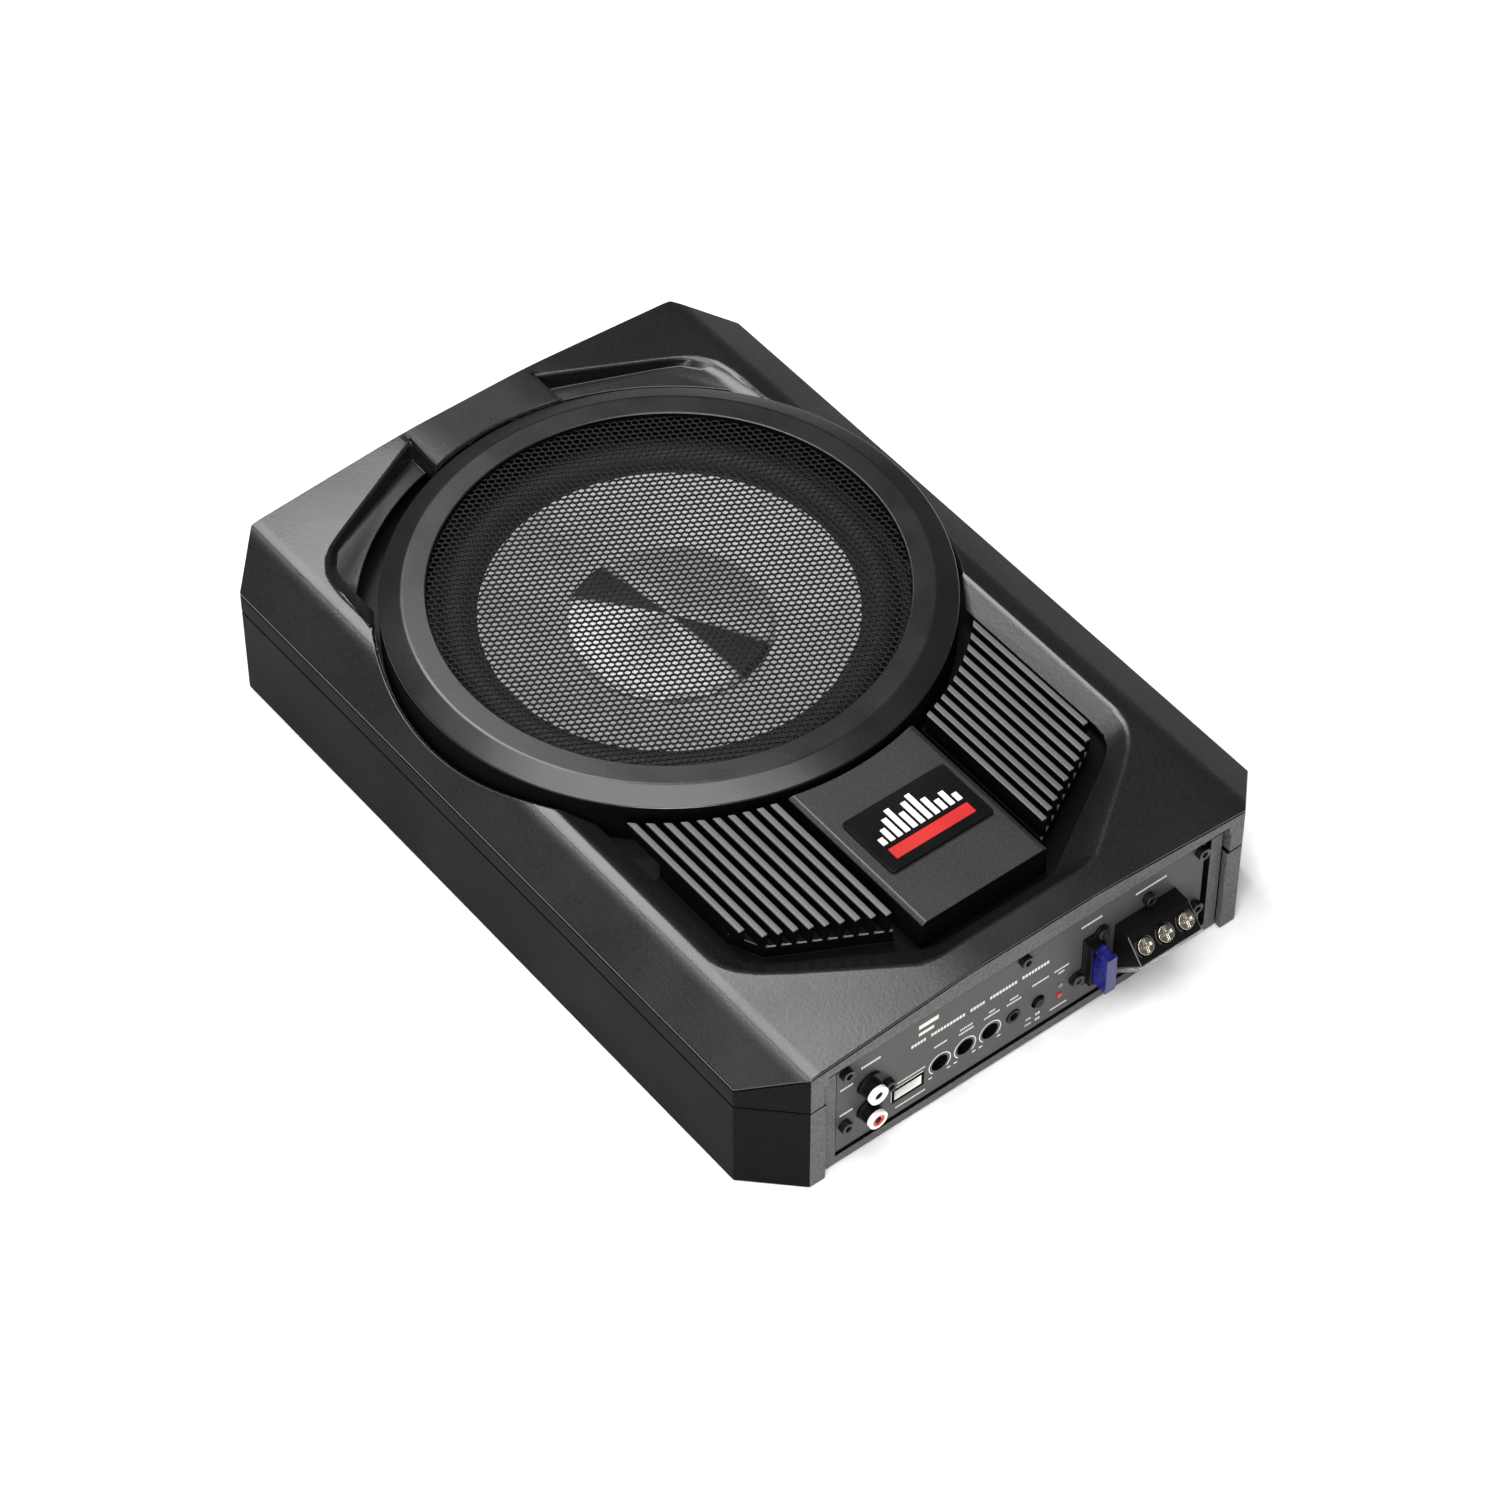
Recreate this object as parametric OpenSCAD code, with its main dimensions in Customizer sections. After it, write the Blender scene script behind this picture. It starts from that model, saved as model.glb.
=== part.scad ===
// Powered under-seat car subwoofer: an 8-inch driver and its amplifier in one flat
// case. Millimetres, +Z up, base on z = 0, control panel facing -Y.

/* [Case] */
// Width over the two long sides
case_width = 242.2; // [220:0.1:260]
// Length from the front frame to the rear wall
case_length = 345; // [320:0.5:370]
// Height of the crowned lid on the centre line
crown_height = 68; // [66:0.5:74]
// Height of the soft crease between the lid's top and its side bevels
crease_height = 62.5; // [60:0.5:66]
// Height of the bevel's lower edge
bevel_height = 52.9; // [48:0.1:56]
// Length cut off each corner, seen from above
corner_cut = 19.5; // [10:0.5:30]
// Height of the seam between the lower tray and the upper housing
seam_height = 42.7; // [36:0.1:48]
// Wall thickness of the tray and the upper housing
wall = 3; // [2:0.1:4]
// Sheet thickness of the lid
lid_sheet = 1.2; // [0.8:0.1:2]
// Shadow gap under the lid's edge and between the housing parts
shadow_gap = 0.5; // [0.3:0.1:1]

/* [Driver] */
// Distance of the driver's axis behind the case's middle
driver_y = 41; // [35:0.5:45]
// Outer radius of the trim ring
ring_radius = 110; // [106:0.5:114]
// Radius of the crease between the ring's flat top and its shoulder
ring_crease_radius = 101.3; // [98:0.1:104]
// Radius of the round opening in the ring
ring_opening_radius = 91.8; // [88:0.1:95]
// Height of the ring's flat top
ring_top = 72; // [70:0.5:76]
// Radius of the cone's rim
cone_radius = 73; // [70:0.5:76]
// Radius of the metal dust cap
cap_radius = 40; // [30:1:45]
// Cone travel each way from rest
cone_travel = 5; // [3:0.5:6]

/* [Heat sink] */
// Cooling fins on each side of the centre plate
fin_count = 10; // [6:1:12]
// Distance from fin to fin
fin_pitch = 4.93; // [4:0.01:6]
// Thickness of a fin
fin_thickness = 2.6; // [1.5:0.1:3]
// Distance of the innermost fin from the centre line
fin_start = 36.4; // [34:0.1:40]
// Height of the fins over the lid's surface line
fin_rise = 2.2; // [0:0.1:4]

/* [Panel] */
// Depth of the control panel behind the front frame's face
panel_set = 3; // [2:0.1:5]
// Thickness of the control panel
panel_sheet = 2.5; // [1.5:0.1:3]
// Reach of the terminal block in front of the panel
terminal_reach = 15.5; // [12:0.5:18]
// Distance between the two input jacks
jack_pitch = 14; // [12:0.5:19]
// Radius of the trimmer openings
trimmer_hole = 3.7; // [3:0.1:4.5]
// Distance between neighbouring trimmers
trimmer_pitch = 11.8; // [10:0.1:14]
// Travel of the phase button
button_travel = 1.5; // [1:0.1:2]

/* [Hidden] */

$fn = 96;
half_w = case_width / 2;
half_l = case_length / 2;
crease_x = half_w - corner_cut;
crown_x = 30;
diag = sqrt(2) - 1;
panel_face = -half_l + panel_set;
panel_back = panel_face + panel_sheet;
body_y = (terminal_reach - panel_set) / 2;
tray_floor = 3;
rim_drop = lid_sheet + shadow_gap;
frame_half = 93.9;
frame_depth = 8;
frame_set = 2.5;
frame_slope_low = 52.7;
frame_slope_high = 57.5;
notch_width = 1.5;
panel_right = 85.4;
flange_half = 79.5;
flange_low = 9;
flange_high = 47;
opening_half = 88;
opening_low = 5;
opening_high = 56;
deck = 50;
deck_sheet = 3;
rib = 5;
hole_radius = ring_radius + 2;
plinth_top = 60;
fin_last = fin_start + fin_pitch * (fin_count - 1);
sink_floor = 54;
flange_top = 53;
seat_top = 57;
yoke_low = 4.5;
yoke_plate = 5;
former_low = yoke_low + yoke_plate + cone_travel + 1.5;
coil_low = 19;
coil_top = 31;
spider_low = coil_top + cone_travel + 0.6;
plate_low = 22;
plate_top = 28;
pole_radius = 24.4;
former_in = 24.8;
former_out = 25.2;
coil_out = 26.2;
gap_out = 26.8;
board_low = 10;
board_top = 11.6;
screw_x = 111;
screw_ys = [-108, 2, 132];
standoff_xs = [-70, 0, 70];
standoff_ys = [-156, -78];
transistor_xs = [-60, -36, -12, 12, 36, 60];
transistor_z = 36;
driver_bolt_radius = 97.5;
driver_bolt_angles = [22.5:45:359];
boss_x = 100;
boss_y = 138;
jack_x = -73.5;
flange_x = -72.4;
jack_z = 35;
jack_reach = 5.7;
sleeve_radius = 4.15;
insert_radius = 3.6;
trimmer_z = 20.7;
trimmer_x = -39.5;
button_x = 6.8;
button_z = 20.5;
button_radius = 2.2;
button_depth = 7;
fuse_x = 32.3;
fuse_z = 26.5;
fuse_reach = 11;
fuse_half = 9.4;
pocket_half = 9.7;
collar_half = 10.6;
term_x0 = 42.5;
term_x1 = 72;
term_xs = [47.4, 57.2, 67];
panel_screw_at = [[-84, 50], [-84, 20], [-1.5, 51], [83, 50], [82, 20], [58, 42],
    [-64.4, 28.6]];
ear_screw_at = [[35.8, 39], [24.6, 20.6]];
ear_sheet = 1.2;

black = [0.07, 0.07, 0.075];
dark_grey = [0.2, 0.2, 0.21];
mid_grey = [0.33, 0.33, 0.34];
steel = [0.72, 0.72, 0.74];
silver = [0.85, 0.85, 0.87];
copper = [0.75, 0.42, 0.22];
white = [0.93, 0.93, 0.91];
red = [0.8, 0.1, 0.08];
blue = [0.12, 0.13, 0.6];
board_green = [0.08, 0.3, 0.16];
brass = [0.8, 0.66, 0.35];
ferrite = [0.14, 0.14, 0.15];

// Every part is drawn about the case's middle and set here, so that the whole
// object, with what stands out of the panel, is centred on the origin.
module placed() { translate([0, body_y, 0]) children(); }
module on_driver() { placed() translate([0, driver_y, 0]) children(); }
module mirrored() { children(); mirror([1, 0, 0]) children(); }

// Case outline seen from above, inset by d
function outline(d) = let (xa = crease_x - d * diag, ya = half_l - corner_cut - d * diag,
    xb = half_w - d, yb = half_l - d)
    [[-xa, -yb], [xa, -yb], [xb, -ya], [xb, ya], [xa, yb], [-xa, yb], [-xb, ya], [-xb, -ya]];

// Lid surface seen from the front, lowered by d
function lid_line(d) = [[half_w, bevel_height - d], [crease_x, crease_height - d],
    [crown_x, crown_height - d], [-crown_x, crown_height - d],
    [-crease_x, crease_height - d], [-half_w, bevel_height - d]];

function lid_z(x) = crown_height -
    (crown_height - crease_height) * (abs(x) - crown_x) / (crease_x - crown_x);

// Solid under the lid's surface line, lowered by d, from height z0 upward
module under_lid(d, z0) {
    rotate([90, 0, 0]) linear_extrude(height = case_length + 2, center = true)
        polygon(concat(lid_line(d), [[-half_w, z0], [half_w, z0]]));
}

module wall_ring(d0, d1, z0, z1) {
    translate([0, 0, z0]) linear_extrude(height = z1 - z0) difference() {
        polygon(outline(d0));
        polygon(outline(d1));
    }
}

// Cylinder along Y from y0 to y1 at x, z
module across(x, z, r, y0, y1) {
    translate([x, y1, z]) rotate([90, 0, 0]) cylinder(r = r, h = y1 - y0);
}

module block(x0, x1, y0, y1, z0, z1) {
    translate([x0, y0, z0]) cube([x1 - x0, y1 - y0, z1 - z0]);
}

// Flat ring about Z
module tube(r0, r1, z0, z1) {
    rotate_extrude() polygon([[r0, z0], [r1, z0], [r1, z1], [r0, z1]]);
}

// Shape in x, z carried along Y from y0 to y1
module front_extrude(y0, y1) {
    translate([0, y1, 0]) rotate([90, 0, 0]) linear_extrude(height = y1 - y0) children();
}

module lower_tray() color(dark_grey) placed() {
    difference() {
        union() {
            difference() {
                linear_extrude(height = seam_height - shadow_gap / 2) polygon(outline(0));
                translate([0, 0, tray_floor]) linear_extrude(height = seam_height)
                    polygon(outline(wall));
                block(-frame_half - shadow_gap, frame_half + shadow_gap, -half_l - 1,
                    -half_l + frame_depth + 0.4, -1, seam_height);
            }
            for (x = [-1, 1], y = [-1, 1]) translate([x * boss_x, y * boss_y, 0])
                cylinder(r = 6.5, h = 16);
            for (x = [-1, 1], y = screw_ys) translate([x * screw_x, y, 0])
                cylinder(r = 5, h = seam_height - shadow_gap / 2);
            for (x = standoff_xs, y = standoff_ys) translate([x, y, 0])
                cylinder(r = 3.5, h = board_low);
        }
        for (x = [-1, 1], y = [-1, 1]) translate([x * boss_x, y * boss_y, -1])
            cylinder(r = 2.1, h = 13);
        for (x = [-1, 1], y = screw_ys) translate([x * screw_x, y, -1]) {
            cylinder(r = 1.9, h = seam_height + 2);
            cylinder(r = 3.8, h = 5);
        }
    }
}

module upper_housing() color(dark_grey) placed() {
    difference() {
        union() {
            intersection() {
                wall_ring(0, wall, seam_height + shadow_gap / 2, crown_height);
                under_lid(rim_drop, 0);
            }
            intersection() {
                wall_ring(wall, rib, seam_height + shadow_gap / 2, crown_height);
                under_lid(lid_sheet, 0);
            }
            wall_ring(rib, rib + 5, deck - deck_sheet - 4, deck - deck_sheet);
            front_extrude(-half_l, -half_l + frame_depth) polygon([[-frame_half, 0.6],
                [frame_half, 0.6], [frame_half, seam_height + shadow_gap / 2],
                [crease_x, seam_height + shadow_gap / 2], [crease_x, crease_height - rim_drop],
                [crown_x, crown_height - rim_drop], [-crown_x, crown_height - rim_drop],
                [-crease_x, crease_height - rim_drop], [-crease_x, seam_height + shadow_gap / 2],
                [-frame_half, seam_height + shadow_gap / 2]]);
            for (x = [-1, 1], y = screw_ys)
                translate([x * screw_x, y, seam_height + shadow_gap / 2]) cylinder(r = 5, h = 8);
        }
        side_extrude(-frame_half, frame_half) polygon([[-half_l - 1, -1], [-half_l + frame_set, -1],
            [-half_l + frame_set, frame_slope_low], [-half_l, frame_slope_high],
            [-half_l - 1, frame_slope_high]]);
        mirrored() block(frame_half, frame_half + notch_width, -half_l - 1, -half_l + 4.5,
            seam_height, frame_slope_low);
        front_extrude(-half_l - 1, panel_back) polygon([
            [-opening_half, opening_low], [opening_half, opening_low],
            [opening_half, opening_high - 3], [opening_half - 3, opening_high],
            [3 - opening_half, opening_high], [-opening_half, opening_high - 3]]);
        block(-flange_half, flange_half, -half_l, -half_l + rib + 5.1, flange_low, flange_high);
        for (p = panel_screw_at) across(p[0], p[1], 1.55, panel_back - 1, -half_l + frame_depth + 1);
        for (x = [-1, 1], y = screw_ys)
            translate([x * screw_x, y, seam_height]) cylinder(r = 1.65, h = 7);
    }
}

// Outline of the front recess on its floor and at crown height
recess_low = [[87.3, -10], [87.3, -104], [86.6, -110], [84.4, -114.5], [81, -117.9],
    [77, -120.8], [72, -123.9], [35, -145.9], [30.5, -148.4], [25, -149.9]];
recess_high = [[106.3, -10], [106.3, -106], [104.6, -114], [100, -121], [93, -127.8],
    [79.8, -136.8], [42.8, -158.8], [36, -160.3]];
// Outline of one rear pocket on its shelf and at crown height
pocket_low = [[31, 100], [31, 164.8], [75, 146], [83, 141.8], [87.5, 136], [89.5, 129],
    [90, 121], [90, 100]];
pocket_high = [[30.4, 100], [30.4, 166.2], [76, 146.9], [88, 141.5], [98, 134],
    [104, 125.5], [106, 116], [106, 100]];
recess_floor = 58.6;
shelf_height = 60;
shelf_radius = 119;

function both_sides(p) = concat(p, [for (i = [len(p) - 1:-1:0]) [-p[i][0], p[i][1]]]);

// Points of p moved d away from c
function grown(p, c, d) = [for (v = p) v + d * (v - c) / norm(v - c)];

// Pit with sloping walls; grow widens and deepens it by a sheet's thickness
module sloped_pit(low, high, z_low, c, grow) {
    hull() {
        translate([0, 0, z_low - (grow > 0 ? lid_sheet : 0)]) linear_extrude(height = 0.1)
            polygon(grown(low, c, grow));
        translate([0, 0, crown_height]) linear_extrude(height = 0.1)
            polygon(grown(high, c, grow));
    }
}

module recess_pit(grow) {
    sloped_pit(both_sides(recess_low), both_sides(recess_high), recess_floor, [0, -70], grow);
}

module pocket_pit(grow) {
    sloped_pit(pocket_low, pocket_high, shelf_height, [62, 125], grow);
}

module lid() color(mid_grey) placed() {
    difference() {
        union() {
            intersection() {
                linear_extrude(height = crown_height + 1) polygon(outline(0));
                difference() {
                    under_lid(0, bevel_height - lid_sheet);
                    under_lid(lid_sheet, 0);
                }
            }
            intersection() {
                under_lid(0.05, 50);
                union() {
                    recess_pit(lid_sheet * 1.4);
                    mirrored() pocket_pit(lid_sheet * 1.4);
                }
            }
        }
        recess_pit(0);
        mirrored() pocket_pit(0);
        translate([0, 0, 50]) linear_extrude(height = 9) polygon(both_sides(recess_low));
        mirrored() intersection() {
            translate([0, 0, 50]) linear_extrude(height = 11) polygon(pocket_low);
            translate([0, driver_y, 50]) cylinder(r = shelf_radius, h = 11);
        }
        translate([0, driver_y, 40]) cylinder(r = hole_radius, h = 40);
    }
}

module baffle_plate() color(black) placed() {
    difference() {
        translate([0, 0, deck - deck_sheet]) linear_extrude(height = deck_sheet)
            polygon(outline(rib + 0.2));
        translate([0, driver_y, 40]) cylinder(r = 89, h = 20);
        block(-84, 84, -146, -80, 40, 60);
        block(-105, 105, -half_l, -half_l + frame_depth + 2.5, 40, 60);
        for (a = driver_bolt_angles) translate([0, driver_y, 40]) rotate(a)
            translate([driver_bolt_radius, 0, 0]) cylinder(r = 2, h = 20, $fn = 24);
        for (x = [-1, 1], y = screw_ys) translate([x * screw_x, y, 40]) cylinder(r = 5.3, h = 20);
    }
}

module centre_plate() color(mid_grey) placed() {
    difference() {
        front_extrude(-145.3, -60) polygon([[-29.6, sink_floor], [29.6, sink_floor],
            [29.6, crown_height - 1.1], [27.4, crown_height], [-27.4, crown_height],
            [-29.6, crown_height - 1.1]]);
        block(-27, 27, -142.5, -74, sink_floor - 1, crown_height - 3);
        translate([0, driver_y, 40]) cylinder(r = hole_radius + 1, h = 40);
    }
}

module badge() color(black) placed() {
    block(-23, 25, -121, -91, crown_height, crown_height + 1.2);
}

// Y of the fins' front end at distance x from the centre line
function fin_front(x) = -113.8 - 0.546 * (75.7 - x) + max(0, x - 76) * 0.9;
function fin_rear(x, r) = driver_y - sqrt(r * r - x * x);

module heat_sink() color(black) placed() {
    difference() {
        union() {
            translate([0, 0, deck]) linear_extrude(height = sink_floor - deck) polygon([
                [90.5, -60], [90.5, -110], [86, -119], [37, -150], [26, -152.5], [-26, -152.5],
                [-37, -150], [-86, -119], [-90.5, -110], [-90.5, -60]]);
            mirrored() translate([0, 0, deck]) linear_extrude(height = plinth_top - deck)
                polygon([[fin_start - 1.6, -60], [fin_start - 1.6, fin_front(fin_start - 1.6)],
                    [76, fin_front(76)], [fin_last + 1.6, fin_front(fin_last + 1.6) + 4],
                    [fin_last + 1.6, -60]]);
            block(-82, 82, -89, -82, 24, deck + 1);
        }
        translate([0, driver_y, 40]) cylinder(r = ring_radius + 3.5, h = 40);
        for (x = transistor_xs) across(x, transistor_z, 1.5, -90, -83);
    }
    mirrored() difference() {
        for (i = [0:fin_count - 1]) let (x = fin_start + i * fin_pitch, top = lid_z(x) + fin_rise)
            block(x - fin_thickness / 2, x + fin_thickness / 2, fin_front(x), -20,
                plinth_top, top);
        translate([0, driver_y, 40]) cylinder(r = ring_radius + 5.5, h = 40);
    }
}

module trim_ring() color(dark_grey) on_driver() {
    rotate_extrude() polygon([[ring_radius - 2.4, deck], [ring_radius - 0.3, deck],
        [ring_radius, deck + 2], [ring_radius, ring_top - 3.6], [ring_crease_radius, ring_top],
        [ring_opening_radius, ring_top], [ring_opening_radius, ring_top - 2],
        [ring_crease_radius - 0.6, ring_top - 2], [ring_radius - 2.4, ring_top - 5.2]]);
}

module grille() color(black) on_driver() {
    rotate_extrude() polygon([[0, ring_top - 3], [ring_crease_radius - 1, ring_top - 3],
        [ring_crease_radius - 1, ring_top - 2], [0, ring_top - 2]]);
}

module speaker_basket() color(black) on_driver() {
    difference() {
        rotate_extrude() polygon([[46, plate_top], [54, plate_top], [57, 35.5], [88.3, 46.5],
            [88.3, deck], [104, deck], [104, flange_top], [92, flange_top], [92, seat_top],
            [88, seat_top], [88, flange_top], [85, 48.5], [56, 38.2], [54.5, spider_low],
            [49.5, spider_low], [49.5, 34.8], [52, 34], [50, plate_top + 2.5],
            [46, plate_top + 2.5]]);
        for (a = [0:60:359]) rotate(a + 30) translate([60, -14, 32]) cube([20, 28, 18]);
        for (a = driver_bolt_angles) rotate(a) translate([driver_bolt_radius, 0, 40])
            cylinder(r = 2, h = 20, $fn = 24);
    }
}

module driver_screws() color(steel) on_driver() {
    for (a = driver_bolt_angles) rotate(a) translate([driver_bolt_radius, 0, 0]) {
        translate([0, 0, deck - deck_sheet - 3]) cylinder(r = 1.9,
            h = flange_top - deck + deck_sheet + 3);
        translate([0, 0, flange_top]) cylinder(r = 3.6, h = 2.6);
    }
}

module surround() color(black) on_driver() {
    rotate_extrude() {
        difference() {
            translate([81, seat_top]) circle(r = 7);
            translate([81, seat_top]) circle(r = 6);
            translate([70, seat_top - 20]) square([30, 20]);
        }
        translate([87.5, seat_top]) square([4.5, 0.8]);
        translate([cone_radius + 0.3, seat_top]) square([1.2, 0.8]);
    }
}

module speaker_cone() color(silver) on_driver() {
    rotate_extrude() polygon([[former_out, 45], [cone_radius - 1.5, seat_top - 0.2],
        [cone_radius, seat_top - 0.2], [cone_radius, seat_top + 0.8],
        [cone_radius - 1.8, seat_top + 0.8], [former_out, 46]]);
}

module dust_cap() color(silver) on_driver() {
    rotate_extrude() polygon([[0, 53.9], [cap_radius - 3, 51.3], [cap_radius - 1.6, 49.85],
        [cap_radius, 49.85], [cap_radius, 50.6], [cap_radius - 1, 51.8], [cap_radius - 2.4, 52.2],
        [0, 54.8]]);
}

module coil_former() color(brass) on_driver() { tube(former_in, former_out, former_low, 46.6); }

module voice_coil() color(copper) on_driver() { tube(former_out, coil_out, coil_low, coil_top); }

// Corrugated disc that centres the coil, 0.35 mm clear of its former
function wave(z) = [for (i = [0:8]) [29.5 + i * 2.4, z + (i % 2) * 1.4]];

module spider() color([0.75, 0.6, 0.3]) on_driver() {
    rotate_extrude() polygon(concat([[former_out + 0.35, spider_low]], wave(spider_low),
        [[54.4, spider_low], [54.4, spider_low + 0.7]],
        [for (i = [8:-1:0]) wave(spider_low + 0.7)[i]], [[former_out + 0.35, spider_low + 0.7]]));
}

module top_plate() color(steel) on_driver() { tube(gap_out, 50, plate_low, plate_top); }

module magnet() color(ferrite) on_driver() { tube(30, 52, yoke_low + yoke_plate, plate_low); }

module yoke() color(steel) on_driver() {
    difference() {
        union() {
            translate([0, 0, yoke_low]) cylinder(r = 50, h = yoke_plate);
            translate([0, 0, yoke_low]) cylinder(r = pole_radius, h = plate_top - yoke_low);
        }
        translate([0, 0, -1]) cylinder(r = 7, h = 40);
    }
    tube(12, 40, tray_floor, yoke_low);
}

module control_panel() color(mid_grey) placed() {
    difference() {
        front_extrude(panel_face, panel_back) polygon([[-87.6, 6.6], [panel_right, 6.6],
            [panel_right, 52.8], [panel_right - 2.8, 55.6], [-84.8, 55.6], [-87.6, 52.8]]);
        for (dz = [0, jack_pitch]) across(jack_x, jack_z - dz, 4.6, panel_face - 1, panel_back + 1);
        block(-62.2, -46.8, panel_face - 1, panel_back + 1, 14.3, 22.2);
        for (i = [0:2]) across(trimmer_x + i * trimmer_pitch, trimmer_z, trimmer_hole,
            panel_face - 1, panel_back + 1);
        across(-5, 21, 3.2, panel_face - 1, panel_back + 1);
        across(button_x, button_z, 3, panel_face - 1, panel_back + 1);
        for (z = [22, 16.4]) across(17.2, z, 1.3, panel_face - 1, panel_back + 1);
        block(28.2, 36.4, panel_face - 1, panel_back + 1, fuse_z - collar_half - 0.2,
            fuse_z + collar_half + 0.2);
        block(44, 70, panel_face - 1, panel_back + 1, 17, 35);
        for (p = panel_screw_at) across(p[0], p[1], 1.6, panel_face - 1, panel_back + 1);
        for (p = ear_screw_at) across(p[0], p[1], 1.6, panel_face - 1, panel_back + 1);
    }
}

module socket_screw(x, z, seat, reach, tall) {
    difference() {
        union() {
            across(x, z, 2.7, seat - tall, seat);
            across(x, z, 1.5, seat - 1, seat + reach, $fn = 32);
        }
        translate([x, seat - tall * 0.4, z]) rotate([90, 0, 0]) cylinder(r = 1.44, h = 3, $fn = 6);
    }
}

module panel_screws() color(black) placed() {
    for (p = panel_screw_at) socket_screw(p[0], p[1], panel_face, 7, 3);
    for (p = ear_screw_at) socket_screw(p[0], p[1], panel_face - ear_sheet, 7, 1.3);
}

// Moulded block behind the panel with two sleeves that stand out of it
module input_jack_body() color(black) placed() {
    difference() {
        union() {
            block(-79.2, -66.4, panel_back, panel_back + 12, board_top, 42);
            block(-66.5, -61, panel_back, panel_back + 8, 25, 32.2);
            for (dz = [0, jack_pitch]) {
                across(flange_x, jack_z - dz, 5.4, panel_face - 1.4, panel_face);
                across(jack_x, jack_z - dz, sleeve_radius, panel_face - jack_reach, panel_back);
            }
        }
        for (dz = [0, jack_pitch])
            across(jack_x, jack_z - dz, insert_radius, panel_face - 20, panel_back + 8);
        across(-64.4, 28.6, 1.55, panel_back - 1, panel_back + 9);
    }
}

module jack_insert(z) {
    difference() {
        union() {
            across(jack_x, z, insert_radius, panel_face - jack_reach, panel_back + 8);
            across(jack_x, z, sleeve_radius, panel_face - jack_reach - 1.4, panel_face - jack_reach);
        }
        across(jack_x, z, 1.9, panel_face - 20, panel_back + 4);
    }
}

module left_jack_insert() color(white) placed() jack_insert(jack_z);

module right_jack_insert() color(red) placed() jack_insert(jack_z - jack_pitch);

module jack_contacts() color(steel) placed() {
    for (dz = [0, jack_pitch]) difference() {
        across(jack_x, jack_z - dz, 1.9, panel_face - jack_reach - 1, panel_back + 4);
        across(jack_x, jack_z - dz, 1.6, panel_face - 20, panel_back + 2);
    }
}

module speaker_input_socket() color(white) placed() {
    difference() {
        union() {
            block(-62, -47, panel_face - 0.4, panel_back, 14.5, 22);
            block(-64, -45.5, panel_back, panel_back + 12, board_top, 24);
        }
        block(-60.8, -48.2, panel_face - 2, panel_face + 9, 15.7, 20.8);
    }
}

module speaker_input_pins() color(brass) placed() {
    for (x = [-59, -56.3, -53.6, -50.9]) block(x - 0.35, x + 0.35, panel_face + 4, panel_face + 9,
        17.9, 18.6);
}

module trimmer(i) {
    x = trimmer_x + i * trimmer_pitch;
    difference() {
        union() {
            across(x, trimmer_z, 3, panel_face + 3.2, panel_back + 3);
            across(x, trimmer_z, 1.9, panel_back + 2.9, panel_back + 6);
        }
        block(x - 0.45, x + 0.45, panel_face + 3, panel_face + 4.2, trimmer_z - 2.4, trimmer_z + 2.4);
        block(x - 0.45, x + 0.45, panel_face + 3, panel_face + 3.8, trimmer_z, trimmer_z + 4);
    }
}

module gain_trimmer() color(dark_grey) placed() trimmer(0);

module boost_trimmer() color(dark_grey) placed() trimmer(1);

module crossover_trimmer() color(dark_grey) placed() trimmer(2);

module trimmer_housings() color(dark_grey) placed() {
    for (i = [0:2]) let (x = trimmer_x + i * trimmer_pitch) difference() {
        block(x - 5, x + 5, panel_back, panel_back + 9, board_top, trimmer_z + 5.5);
        across(x, trimmer_z, 3.4, panel_back - 1, panel_back + 3.4);
        across(x, trimmer_z, 2.25, panel_back + 3, panel_back + 6.4);
    }
}

module remote_jack() color(black) placed() {
    difference() {
        union() {
            across(-5, 21, 3.1, panel_face - 0.5, panel_back);
            block(-9, -1, panel_back, panel_back + 12, board_top, 25);
        }
        across(-5, 21, 1.8, panel_face - 2, panel_back + 10);
    }
}

module phase_switch() color(dark_grey) placed() {
    difference() {
        block(button_x - 4.5, button_x + 4.5, panel_back, panel_back + 12, board_top, 25);
        across(button_x, button_z, button_radius + 0.3, panel_back - 1,
            panel_back + button_depth + button_travel + 0.5);
    }
}

module phase_button() color(black) placed() {
    across(button_x, button_z, button_radius, panel_face - button_travel + 0.1,
        panel_back + button_depth);
}

module lamp(z) {
    across(17.2, z, 1.2, panel_face - 0.4, panel_back + 3, $fn = 32);
}

module power_lamp() color(silver) placed() lamp(22);

module protect_lamp() color(red) placed() lamp(16.4);

// Black holder with two screw ears and a narrow pocket for the blade fuse
module fuse_holder() color(black) placed() {
    difference() {
        union() {
            block(27.2, 37.2, panel_face - ear_sheet, panel_face, 15, 40.2);
            for (p = ear_screw_at) across(p[0], p[1], 3.2, panel_face - ear_sheet, panel_face);
            block(24.6, 28, panel_face - ear_sheet, panel_face, 17.4, 23.8);
            block(28.5, 36.1, panel_face - 4, panel_back + 14, fuse_z - collar_half,
                fuse_z + collar_half);
        }
        block(29.3, 35.3, panel_face - 5, panel_face + 8, fuse_z - pocket_half, fuse_z + pocket_half);
        block(31.6, 33, panel_face + 7, panel_back + 13, fuse_z - 8, fuse_z - 2.2);
        block(31.6, 33, panel_face + 7, panel_back + 13, fuse_z + 2.2, fuse_z + 8);
        for (p = ear_screw_at) {
            across(p[0], p[1], 1.6, panel_face - 3, panel_face + 1);
            across(p[0], p[1], 3, panel_face - 5, panel_face - ear_sheet);
        }
    }
}

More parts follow.
